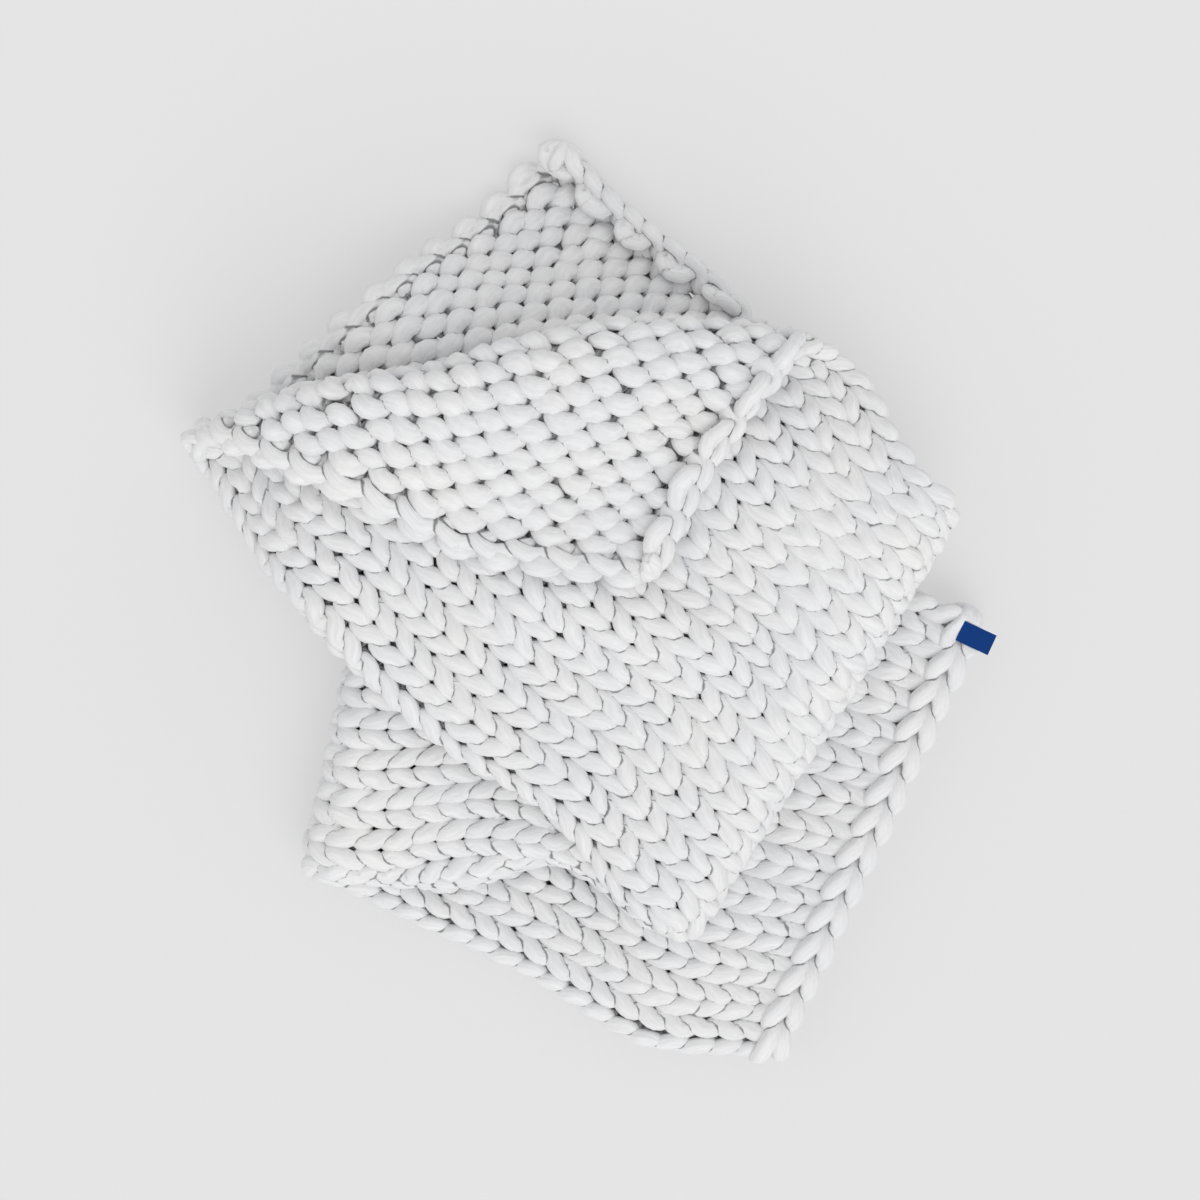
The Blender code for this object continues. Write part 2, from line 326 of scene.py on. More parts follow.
def lay_net():
    """Place the net: share out each line's true length evenly, offset it by its layer,
    peel the upper layer back and let the runs settle. Returns points and unit normals."""
    angle = np.clip(net_width / FOLD_RADIUS, -pi / 2, pi / 2)
    in_fold = np.abs(net_width) < QUARTER_FOLD
    across = np.where(
        in_fold, -FOLD_RADIUS * np.cos(angle), np.abs(net_width) - QUARTER_FOLD
    )
    offset = FOLD_RADIUS * np.sin(angle)
    lines, normals, ends = strip_lines(across)
    steps = np.linalg.norm(np.diff(lines, axis=0), axis=-1)
    arc = np.concatenate([np.zeros((1, NET_COLUMNS)), np.cumsum(steps, axis=0)])
    levels = np.interp(np.arange(len(lines)), np.ravel(ends), [0, 0, 1, 1, 2, 2])
    layered = lines + offset[:, None] * normals

    points = np.empty((NET_ROWS, NET_COLUMNS, 3))
    level = np.empty((NET_ROWS, NET_COLUMNS))
    for column in range(NET_COLUMNS):
        total = arc[-1, column]
        along = net_length / SHEET_LENGTH * total
        level[:, column] = np.interp(along, arc[:, column], levels)
        for axis in range(3):
            points[:, column, axis] = np.interp(along, arc[:, column], layered[:, column, axis])
        first = unit(layered[1, column] - layered[0, column])
        last = unit(layered[-1, column] - layered[-2, column])
        points[:, column] += np.minimum(along, 0.0)[:, None] * first
        points[:, column] += np.maximum(along - total, 0.0)[:, None] * last

    upper = smooth(offset / LAYER_PITCH + 0.5)[None, :] * (level > 2.0 - 1e-6)
    peel_back(points, upper)
    points[..., 2] += upper * ridge_height(points[..., 0], points[..., 1])
    points = settle(points, level)
    points = space_evenly(points, net_length, 0.0, SHEET_LENGTH)
    points = space_evenly(points.swapaxes(0, 1), net_width, -HALF_WIDTH, HALF_WIDTH)
    points = points.swapaxes(0, 1)
    points[..., 2] += FOLD_RADIUS + THICKNESS / 2
    label_low, label_high = np.array(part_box("label_tab"))
    points[..., :2] += (label_low + label_high)[:2] / 2 - LABEL_CENTRE

    along_net = np.gradient(points, axis=0)
    across_net = np.gradient(points, axis=1)
    return points, unit(np.cross(across_net, along_net))


net_points, net_normals = lay_net()


def on_net(values, u, v):
    """Read the net at width u and length v by joining its four nearest knots evenly."""
    column = (u - net_width[0]) / (net_width[1] - net_width[0])
    row = (v - net_length[0]) / (net_length[1] - net_length[0])
    column = np.clip(column, 0, NET_COLUMNS - 1.001)
    row = np.clip(row, 0, NET_ROWS - 1.001)
    i = column.astype(int)
    j = row.astype(int)
    a = (column - i)[..., None]
    b = (row - j)[..., None]
    near = values[j, i] * (1 - a) + values[j, i + 1] * a
    far = values[j + 1, i] * (1 - a) + values[j + 1, i + 1] * a
    return near * (1 - b) + far * b


# The free selvedges roll towards the purl side. Columns: the share of the sheet's length where the
# roll begins and where it is full, and the angle in degrees that it turns through.
SELVEDGE_ROLL = {
    "lower layer": (0.80, 0.90, 165.0),
    "upper layer": (0.82, 0.92, 115.0),
}
TUCKED_EDGE_ANGLE = 35.0  # degrees that the selvedges turn elsewhere
ROLL_RADIUS = 0.0165


def roll_angle(u, v):
    """Return the full angle that the selvedge nearest to each point turns through."""
    share = v / SHEET_LENGTH
    angles = []
    for begins, full, degrees in SELVEDGE_ROLL.values():
        ease = smooth((share - begins) / (full - begins))
        angles.append(np.radians(TUCKED_EDGE_ANGLE + (degrees - TUCKED_EDGE_ANGLE) * ease))
    return np.where(u < 0, angles[0], angles[1])


def on_sheet(u, v, out):
    """Place points by width, length and height out of the sheet on its knit side.

    Near a selvedge the width is wound round a circle of the roll's radius on the purl side, and
    the rest of the width is spread a little, so that the rolled edge keeps the sheet's outline.
    """
    full = roll_angle(u, v)
    rolled = ROLL_RADIUS * full
    flat = HALF_WIDTH - rolled
    spread = (HALF_WIDTH - ROLL_RADIUS * np.sin(np.minimum(full, pi / 2))) / flat
    side = np.sign(u)
    angle = np.maximum(np.abs(u) - flat, 0.0) / ROLL_RADIUS
    base_u = side * np.minimum(np.abs(u), flat) * spread
    base = on_net(net_points, base_u, v)
    lean = unit(on_net(net_normals, base_u, v))
    nudge = 0.002
    across = unit(on_net(net_points, base_u + nudge, v) - on_net(net_points, base_u - nudge, v))
    outward = across * side[..., None]
    turned = lean * np.cos(angle)[..., None] + outward * np.sin(angle)[..., None]
    centre = base + ROLL_RADIUS * (turned - lean) + out[..., None] * turned
    return centre, turned


# The stitches: legs show on the knit side, heads and feet of the loops on the purl side
WALES = 27
COURSES = 60
WALE = 2 * HALF_WIDTH / WALES
BIND_OFF_MARGIN = 0.010  # from the sheet's first end to its first course
CAST_ON_MARGIN = 0.002   # from its last course to its last end
COURSE = (SHEET_LENGTH - BIND_OFF_MARGIN - CAST_ON_MARGIN) / COURSES
LOOP_SWING = 1.95        # radians that the yarn's direction swings to each side of the course
LOOP_HEIGHT = 0.0218     # half of a loop's height
LOOP_DEPTH = 0.0071      # how far heads and feet lie behind the sheet's middle, and legs before
LOOP_BEND = 0.52         # how sharply the yarn dives: the sine of the angle that a head takes up
LOOP_LEAN = 0.0045       # how much each leg rises towards the loop's head
YARN_HALF_WIDTH = 0.0098
YARN_HALF_THICKNESS = 0.0075
YARN_NECK = 0.16         # share of its width that the yarn loses where yarns cross
YARN_SWELL = 0.12        # share of its width that it gains at heads and feet
RINGS_IN_STITCH = 26
RINGS_IN_TURN = 14
TURN_BULGE = 0.008       # how far the yarn stands out as it turns at a selvedge
SIDES = 10
RING_FULLNESS = 0.85     # 1 is an ellipse, and less is squarer
ROUNDED_RINGS = 3        # rings that round off each end of a yarn
END_SHARE = 0.02         # what is left of the yarn's width at its very end
UV_UNIT = 0.1            # metres of yarn to one unit of its UV map
COURSES_IN_PIECE = 12
UNEVENNESS = 0.0011      # the typical error of a hand-made loop's place
chance = np.random.default_rng(7)
SIZE_UNEVENNESS = 0.045  # the typical error of its thickness, as a share
stitch_errors = chance.normal(0.0, UNEVENNESS, (3, COURSES + 4, 2 * WALES + 1))
size_errors = chance.normal(0.0, SIZE_UNEVENNESS, (COURSES + 4, 2 * WALES + 1))

LABEL_CLEARANCE = 0.0005
LABEL_PRESS_REACH = 0.03
LABEL_PRESS_SLOPE = 1.1  # how steeply the yarn may rise away from the label
NO_PRESS = 1.0           # a height that nothing reaches


def press_under_label(x, y):
    """Return the height that the sewn-on label leaves the yarn.

    It is level below the label and rises evenly with the distance from the label's rectangle.
    """
    low, high = np.array(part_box("label_tab"))
    middle = (low + high) / 2
    dx = x - middle[0]
    dy = y - middle[1]
    along = np.abs(dx * cos(LABEL_ANGLE) + dy * sin(LABEL_ANGLE)) - LABEL_SIZE[0] / 2
    aside = np.abs(dy * cos(LABEL_ANGLE) - dx * sin(LABEL_ANGLE)) - LABEL_SIZE[1] / 2
    away = np.hypot(np.maximum(along, 0.0), np.maximum(aside, 0.0))
    height = low[2] - LABEL_CLEARANCE + LABEL_PRESS_SLOPE * away
    return np.where(away < LABEL_PRESS_REACH, height, NO_PRESS)


def ellipse_like(turn, fullness):
    """Go round a ring fuller than a circle: powers below 1 of the cosine and the sine."""
    c = np.cos(turn)
    s = np.sin(turn)
    return np.sign(c) * np.abs(c) ** fullness, np.sign(s) * np.abs(s) ** fullness


def rings_round(centre, normal, half_width, half_thickness, joined):
    """Carry a flattened ring along each path, square to it, its long axis square to the normal.

    A path's direction at a ring is that from the ring before it to the ring after it.
    """
    if joined:
        tangent = unit(np.roll(centre, -1, axis=1) - np.roll(centre, 1, axis=1))
    else:
        tangent = unit(np.gradient(centre, axis=1))
    across = unit(np.cross(tangent, normal))
    thick_way = np.cross(across, tangent)
    turn = np.linspace(0.0, 2 * pi, SIDES, endpoint=False)
    wide, thick = ellipse_like(turn, RING_FULLNESS)
    return (
        centre[:, :, None]
        + (half_width[..., None] * wide)[..., None] * across[:, :, None]
        + (half_thickness[..., None] * thick)[..., None] * thick_way[:, :, None]
    )


def tube_mesh(name, centre, normal, flat_centre, others, bare, half_width, half_thickness, along,
              joined):
    """Make closed tubes: a flattened ring carried along each path, square to it.

    centre and normal are arrays of (tube, ring, xyz), and flat_centre is the same path laid out
    flat, by width, length and height out of the sheet. A joined tube comes back to its start.
    The others' end rings shrink along a quarter circle, almost to a point, and are closed. The
    UV map runs along and round the yarn. The attribute standing
    holds how far each point stands out of the sheet's middle, with bare added where the yarn
    lies open on both sides. The attribute gap holds how far each point is from the surface of
    the yarns beside it, which others(ring) finds. Both are in metres, and the material
    darkens the yarn by both as painted shade in its creases and where yarns touch.
    """
    closing = np.ones(centre.shape[1])
    if not joined:
        from_end = np.minimum(np.arange(len(closing)), np.arange(len(closing))[::-1])
        open_share = np.minimum(from_end / ROUNDED_RINGS, 1.0)
        closing = np.maximum(np.sqrt(1 - (1 - open_share) ** 2), END_SHARE)
    half_width = half_width * closing
    half_thickness = half_thickness * closing
    ring = rings_round(centre, normal, half_width, half_thickness, joined)
    upright = np.broadcast_to([0.0, 0.0, 1.0], flat_centre.shape)
    flat_ring = rings_round(flat_centre, upright, half_width, half_thickness, joined)
    standing = np.abs(flat_ring[..., 2]) + bare[..., None]
    gap = others(ring)
    ring[..., 2] = np.clip(ring[..., 2], 0.0, press_under_label(ring[..., 0], ring[..., 1]))
    tubes, rings = centre.shape[:2]
    number = np.arange(tubes * rings * SIDES).reshape(tubes, rings, SIDES)
    near = number if joined else number[:, :-1]
    far = np.roll(number, -1, axis=1) if joined else number[:, 1:]
    quads = np.stack([near, far, np.roll(far, -1, 2), np.roll(near, -1, 2)], axis=-1)
    quads = quads.reshape(-1, 4)
    caps = np.concatenate([number[:, 0], number[:, -1, ::-1]])[:0 if joined else None]
    corners = np.concatenate([quads.ravel(), caps.ravel()])
    starts = np.concatenate([
        np.arange(0, quads.size, 4),
        quads.size + np.arange(0, caps.size, SIDES),
    ])
    points = ring.reshape(-1, 3)

    mesh = bpy.data.meshes.new(name)
    mesh.vertices.add(len(points))
    mesh.vertices.foreach_set("co", points.ravel())
    mesh.loops.add(len(corners))
    mesh.loops.foreach_set("vertex_index", corners)
    mesh.polygons.add(len(starts))
    mesh.polygons.foreach_set("loop_start", starts)
    mesh.polygons.foreach_set("use_smooth", np.ones(len(starts), bool))
    mesh.update(calc_edges=True)

    round_share = np.arange(SIDES) / SIDES
    u_near = np.broadcast_to(along[:, :near.shape[1], None], near.shape)
    u_far = np.broadcast_to(along[:, 1:near.shape[1] + 1, None], near.shape)
    v_one = np.broadcast_to(round_share, near.shape)
    v_two = v_one + 1 / SIDES
    sides_uv = np.stack([u_near, v_one, u_far, v_one, u_far, v_two, u_near, v_two], axis=-1)
    caps_u = np.concatenate([along[:, [0]], along[:, [-1]]])[:len(caps)] + np.zeros(SIDES)
    caps_uv = np.stack([caps_u, np.broadcast_to(round_share, caps_u.shape)], axis=-1)
    uv = mesh.uv_layers.new(name="yarn")
    every_uv = np.concatenate([sides_uv.ravel(), caps_uv.ravel()])
    uv.data.foreach_set("uv", every_uv.astype(np.float32))
    for measure, values in (("standing", standing), ("gap", gap)):
        attribute = mesh.attributes.new(measure, "FLOAT", "POINT")
        attribute.data.foreach_set("value", values.astype(np.float32).ravel())
    piece = bpy.data.objects.new(name, mesh)
    bpy.context.scene.collection.objects.link(piece)
    return piece


def between_knots(table, row, place):
    """Read a row of a table between its knots, eased so that it is level at each knot."""
    place = np.clip(place, 0, table.shape[-1] - 1.001)
    knot = place.astype(int)
    ease = smooth(place - knot)
    return table[row, knot] * (1 - ease) + table[row, knot + 1] * ease


def course_angles(first, last):
    """Run an angle along the yarn, once round for each stitch, to and fro across the sheet.

    Returns the angle, the course as a number that rises through each turn, and how far round a
    turn at the selvedge the yarn is, from 0 to 1, all 0 away from the turns.
    """
    angles = []
    courses = []
    turning = []
    full = 2 * pi * WALES
    sweep = np.linspace(0.0, full, WALES * RINGS_IN_STITCH + 1)
    rounding = np.linspace(0.0, 1.0, RINGS_IN_TURN + 2)[1:-1]
    for course in range(first, last):
        goes_up = course % 2 == 0
        angles.append(sweep if goes_up else sweep[::-1])
        courses.append(np.full(len(sweep), float(course)))
        turning.append(np.zeros(len(sweep)))
        if course < last - 1:
            angles.append(np.full(RINGS_IN_TURN, full if goes_up else 0.0))
            courses.append(course + rounding)
            turning.append(rounding)
    return np.concatenate(angles), np.concatenate(courses), np.concatenate(turning)


def meander(t):
    """Follow a path whose direction swings from side to side by a sine of the angle t.

    Its steps, the cosine and sine of that direction, are added up over one swing. Returns how
    many swings the path has gone across, and its place along the sheet, 1 at a foot and -1 at a
    head.
    """
    fine = np.linspace(0.0, 2 * pi, 721)
    heading = LOOP_SWING * np.sin(fine)
    steps = np.stack([np.cos(heading), -np.sin(heading)])
    path = np.cumsum((steps[:, 1:] + steps[:, :-1]) / 2, axis=1)
    path = np.concatenate([np.zeros((2, 1)), path], axis=1)
    across = path[0] / path[0, -1]
    middle = (path[1].max() + path[1].min()) / 2
    along = (path[1] - middle) / (path[1].max() - middle)
    swings = np.floor(t / (2 * pi))
    rest = t - 2 * pi * swings
    return swings + np.interp(rest, fine, across), np.interp(rest, fine, along)


def stitch_path(t, course, turning):
    """Place the yarn on the flat sheet, by width, length and height out of it.

    Over one stitch the angle t goes once round. In the sheet's plane the yarn follows the
    meander. Legs lie before the sheet's middle, and a bell of sin t carries heads and feet
    behind it. Each leg rises towards the head by cos t sin^2 t. At a selvedge the yarn bulges
    outwards by half a sine.
    """
    row = np.round(course).astype(int)
    error_u, error_v, error_out = (between_knots(e, row, t / pi) for e in stitch_errors)
    across, along = meander(t)
    side = np.where(t > pi * WALES, -1.0, 1.0)
    bulge = TURN_BULGE * np.sin(pi * turning)
    u = HALF_WIDTH - WALE * across + side * bulge + error_u
    v = BIND_OFF_MARGIN + (course + 0.5) * COURSE + LOOP_HEIGHT * along + error_v
    bell = np.exp(-((np.sin(t) / LOOP_BEND) ** 2))
    lean = LOOP_LEAN * np.cos(t) * np.sin(t) ** 2
    out = LOOP_DEPTH * (1 - 2 * bell) - lean + 0.5 * error_out
    return np.stack([u, v, out], axis=-1)


def lay_courses():
    """Place the middle of every course's yarn at even steps of its angle, as (course, step)."""
    steps = np.linspace(0.0, 2 * pi * WALES, WALES * RINGS_IN_STITCH + 1)
    t, course = np.broadcast_arrays(steps, np.arange(COURSES, dtype=float)[:, None])
    flat = stitch_path(t, course, 0.0 * t)
    return on_sheet(*np.moveaxis(flat, -1, 0))[0]


laid_courses = lay_courses()


FAR = 0.05               # a gap that stands for no yarn near by
STEPS_BESIDE = 17        # ring steps to each side in which a neighbour can touch
STEPS_OWN = 7            # fewer steps away, the same course is the yarn itself
TOUCHING_RADIUS = 0.95 * YARN_HALF_THICKNESS


def gap_to_courses(ring, t, course, turning):
    """Find how far points round the yarn are from the surfaces of the yarns beside them.

    The yarns are those of the two courses on each side, and the same one further along. Each
    is sampled at the steps round the point's own and taken as round, so the gap is the
    distance to its middle less its radius.
    """
    nearest = np.full(ring.shape[:3], FAR)
    row = np.round(course).astype(int)
    step = np.round(t / (2 * pi) * RINGS_IN_STITCH).astype(int)
    for away in (-2, -1, 0, 1, 2):
        beside_row = np.clip(row + away, 0, COURSES - 1)
        exists = (row + away == beside_row) & (turning == 0)
        for shift in range(-STEPS_BESIDE, STEPS_BESIDE + 1):
            if away == 0 and abs(shift) < STEPS_OWN:
                continue
            beside_step = np.clip(step + shift, 0, laid_courses.shape[1] - 1)
            counts = exists & (step + shift == beside_step)
            middle = laid_courses[beside_row, beside_step]
            away_from = np.linalg.norm(ring - middle[None, :, None], axis=-1)
            found = np.where(counts[None, :, None], away_from - TOUCHING_RADIUS, FAR)
            nearest = np.minimum(nearest, found)
    return nearest


STRETCH_LIMITS = (0.95, 1.15)


def stretch_of(centre, flat_centre):
    """Divide the yarn's laid length by its flat length, both summed over two stitches.

    Where the sheet is drawn out the yarn is made as much thicker, so that it still covers.
    """
    laid = np.linalg.norm(np.gradient(centre, axis=0), axis=-1)
    flat = np.linalg.norm(np.gradient(flat_centre, axis=0), axis=-1)
    window = np.ones(2 * RINGS_IN_STITCH + 1)
    share = np.convolve(laid, window, "same") / np.convolve(flat, window, "same")
    return np.clip(share, *STRETCH_LIMITS)


# Yarn that lies open along the sheet's edges is kept out of the painted crease shade
BARE_HEIGHT = 0.008      # what is added to standing along the sheet's edges
BARE_SIDE = 0.016        # the width of yarn that lies open along a selvedge
BARE_EASE = 0.010        # over which it comes in


def course_yarn(first, last):
    """Work out the yarn of some courses, on the flat sheet and on the folded one.

    Its width grows by the square of cos t at heads and feet, and shrinks by the square of
    sin 2t where yarns cross. Its edges count as bare from a line along each edge of the sheet.
    """
    t, course, turning = course_angles(first, last)
    flat_centre = stitch_path(t, course, turning)
    centre, normal = on_sheet(*flat_centre.T)
    past_side = np.abs(flat_centre[:, 0]) - (HALF_WIDTH - BARE_SIDE)
    half_span = COURSES * COURSE / 2
    past_end = np.abs(flat_centre[:, 1] - BIND_OFF_MARGIN - half_span) - (half_span - COURSE / 2)
    bare = BARE_HEIGHT * smooth(np.maximum(past_side, past_end) / BARE_EASE)
    crossing = np.sin(2 * t) ** 2
    row = np.round(course).astype(int)
    size = (1 + between_knots(size_errors, row, t / pi)) * stretch_of(centre, flat_centre)
    swell = YARN_SWELL * np.cos(t) ** 2 - YARN_NECK * crossing
    half_width = YARN_HALF_WIDTH * size * (1 + swell)
    half_thickness = YARN_HALF_THICKNESS * size * (1 - YARN_NECK / 2 * crossing)
    length = np.cumsum(np.linalg.norm(np.diff(centre, axis=0, prepend=centre[:1]), axis=-1))
    return (
        centre[None],
        normal[None],
        flat_centre[None],
        lambda ring: gap_to_courses(ring, t, course, turning),
        bare[None],
        half_width[None],
        half_thickness[None],
        length[None] / UV_UNIT,
        False,
    )


def add_node(tree, kind, place, settings=(), **inputs):
    """Add a node of a kind at a place, with its settings and its sockets set by name."""
    node = tree.nodes.new(kind)
    node.location = place
    for setting, value in dict(settings).items():
        setattr(node, setting, value)
    for socket, value in inputs.items():
        node.inputs[socket.replace("_", " ")].default_value = value
    return node


WRINKLE_SCALE = (2.2, 2.2, 5.0)  # wrinkles across and along the yarn
RIBS_ROUND = 34                  # ribs round the yarn
RIB_SHARE = 0.07                 # how high ribs stand against wrinkles


def make_jersey_group():
    """Make the shared pattern of the yarn's jersey cover: fine ribs and long soft wrinkles.

    It reads the UV map that runs along and round the yarn, bends it into a cylinder so that
    it has no seam, and gives a tint from 0 to 1 and a height from 0 to 1.
    """
    group = bpy.data.node_groups.new("jersey_cover", "ShaderNodeTree")
    group.interface.new_socket("Tint", in_out="OUTPUT", socket_type="NodeSocketFloat")
    group.interface.new_socket("Height", in_out="OUTPUT", socket_type="NodeSocketFloat")
    link = group.links.new
    end = add_node(group, "NodeGroupOutput", (900, 0))
    uv = add_node(group, "ShaderNodeUVMap", (-1100, 0), {"uv_map": "yarn"})
    parts = add_node(group, "ShaderNodeSeparateXYZ", (-900, 0))
    link(uv.outputs["UV"], parts.inputs[0])
    turn = add_node(group, "ShaderNodeMath", (-700, -100), {"operation": "MULTIPLY"})
    turn.inputs[1].default_value = 2 * pi
    link(parts.outputs["Y"], turn.inputs[0])
    cosine = add_node(group, "ShaderNodeMath", (-500, 0), {"operation": "COSINE"})
    sine = add_node(group, "ShaderNodeMath", (-500, -200), {"operation": "SINE"})
    link(turn.outputs[0], cosine.inputs[0])
    link(turn.outputs[0], sine.inputs[0])
    cylinder = add_node(group, "ShaderNodeCombineXYZ", (-300, 0))
    link(cosine.outputs[0], cylinder.inputs["X"])
    link(sine.outputs[0], cylinder.inputs["Y"])
    link(parts.outputs["X"], cylinder.inputs["Z"])
    stretch = add_node(group, "ShaderNodeVectorMath", (-100, 0), {"operation": "MULTIPLY"})
    stretch.inputs[1].default_value = WRINKLE_SCALE
    link(cylinder.outputs[0], stretch.inputs[0])
    wrinkles = add_node(
        group, "ShaderNodeTexNoise", (100, 100), Scale=1.0, Detail=4.0, Roughness=0.6
    )
    link(stretch.outputs[0], wrinkles.inputs["Vector"])
    ribs = add_node(group, "ShaderNodeMath", (100, -200), {"operation": "MULTIPLY"})
    ribs.inputs[1].default_value = 2 * pi * RIBS_ROUND
    link(parts.outputs["Y"], ribs.inputs[0])
    rib_wave = add_node(group, "ShaderNodeMath", (300, -200), {"operation": "SINE"})
    link(ribs.outputs[0], rib_wave.inputs[0])
    height = add_node(group, "ShaderNodeMath", (500, -100), {"operation": "MULTIPLY_ADD"})
    height.inputs[1].default_value = RIB_SHARE
    link(rib_wave.outputs[0], height.inputs[0])
    link(wrinkles.outputs["Fac"], height.inputs[2])
    link(wrinkles.outputs["Fac"], end.inputs["Tint"])
    link(height.outputs[0], end.inputs["Height"])
    return group


# Painted shade: the dark colour that the yarn takes in its creases and where yarns touch
PAINTED_CREASE_SHADE = (0.08, 0.08, 0.092, 1)
COOL_WHITE = (0.815, 0.818, 0.834, 1)
WARM_WHITE = (0.836, 0.835, 0.832, 1)
yarn = bpy.data.materials.new("cotton_yarn")
yarn.use_nodes = True
tree = yarn.node_tree
link = tree.links.new
shader = tree.nodes["Principled BSDF"]
shader.inputs["Roughness"].default_value = 0.92
shader.inputs["Specular IOR Level"].default_value = 0.2
shader.inputs["Sheen Weight"].default_value = 0.12
shader.inputs["Sheen Roughness"].default_value = 0.6
cover = add_node(tree, "ShaderNodeGroup", (-1100, -200), {"node_tree": make_jersey_group()})

place = add_node(tree, "ShaderNodeTexCoord", (-1300, 400))
patches = add_node(tree, "ShaderNodeTexNoise", (-1100, 400), Scale=14.0, Detail=2.0)
link(place.outputs["Object"], patches.inputs["Vector"])
patch_share = add_node(tree, "ShaderNodeMapRange", (-900, 400), From_Min=0.35, From_Max=0.65)
link(patches.outputs["Fac"], patch_share.inputs["Value"])
whites = add_node(tree, "ShaderNodeMix", (-700, 400), {"data_type": "RGBA"})
whites.inputs[6].default_value = COOL_WHITE
whites.inputs[7].default_value = WARM_WHITE
link(patch_share.outputs["Result"], whites.inputs["Factor"])

streaks = add_node(
    tree, "ShaderNodeMapRange", (-900, 100), From_Min=0.3, From_Max=0.7, To_Min=0.90, To_Max=1.04
)
link(cover.outputs["Tint"], streaks.inputs["Value"])
tinted = add_node(
    tree, "ShaderNodeMix", (-500, 300), {"data_type": "RGBA", "blend_type": "MULTIPLY"}
)
tinted.inputs["Factor"].default_value = 1.0
link(whites.outputs[2], tinted.inputs[6])
link(streaks.outputs["Result"], tinted.inputs[7])

# Painted shade: the yarn's colour darkens towards the sheet's middle, and more where it touches
# the yarns beside it, standing in for the shade in the creases between stitches
standing = add_node(tree, "ShaderNodeAttribute", (-900, -100), {"attribute_name": "standing"})
shade = add_node(
    tree, "ShaderNodeMapRange", (-700, -100), {"interpolation_type": "SMOOTHSTEP"},
    From_Min=0.0002, From_Max=0.0034,
)
link(standing.outputs["Fac"], shade.inputs["Value"])
gap = add_node(tree, "ShaderNodeAttribute", (-900, -300), {"attribute_name": "gap"})
beside = add_node(
    tree, "ShaderNodeMapRange", (-700, -300), {"interpolation_type": "SMOOTHSTEP"},
    From_Min=0.0002, From_Max=0.0018, To_Min=0.24,
)
link(gap.outputs["Fac"], beside.inputs["Value"])
unshaded_share = add_node(tree, "ShaderNodeMath", (-500, -200), {"operation": "MULTIPLY"})
link(shade.outputs["Result"], unshaded_share.inputs[0])
link(beside.outputs["Result"], unshaded_share.inputs[1])
painted_crease_mix = add_node(tree, "ShaderNodeMix", (-300, 200), {"data_type": "RGBA"})
painted_crease_mix.inputs[6].default_value = PAINTED_CREASE_SHADE
link(unshaded_share.outputs[0], painted_crease_mix.inputs["Factor"])
link(tinted.outputs[2], painted_crease_mix.inputs[7])
link(painted_crease_mix.outputs[2], shader.inputs["Base Color"])

bump = add_node(tree, "ShaderNodeBump", (-300, -300), Strength=0.55, Distance=0.0016)
link(cover.outputs["Height"], bump.inputs["Height"])
link(bump.outputs["Normal"], shader.inputs["Normal"])

for first in range(0, COURSES, COURSES_IN_PIECE):
    last = min(first + COURSES_IN_PIECE, COURSES)
    piece = tube_mesh(f"courses_{first + 1}_to_{last}", *course_yarn(first, last))
    piece.data.materials.append(yarn)
    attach(piece, "root")
    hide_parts("blanket")


# ---------------------------------------------------------------------------------------------
# The chained edges
# The bind-off edge is a chain of loops, each pulled through the one before it, that lies on the
# last course. The cast-on edge is closed by a smaller chain.
# ---------------------------------------------------------------------------------------------

RINGS_IN_LINK = 34
LINK_SQUARENESS = (0.1, 1 / 6)  # of its ends and of its legs: shares of cos 3t and sin 3t
LEGS_MOST = 0.825               # the height of that curve at its widest
LINK_LEAN = 0.3                 # how much deeper its head lies than its foot, as a share
TUCKED_OUT = 0.4                # how much closer to the sheet it lies on the lower layer
LINK_NECK = (0.3, 0.15)         # shares of width and thickness that it loses at its two ends


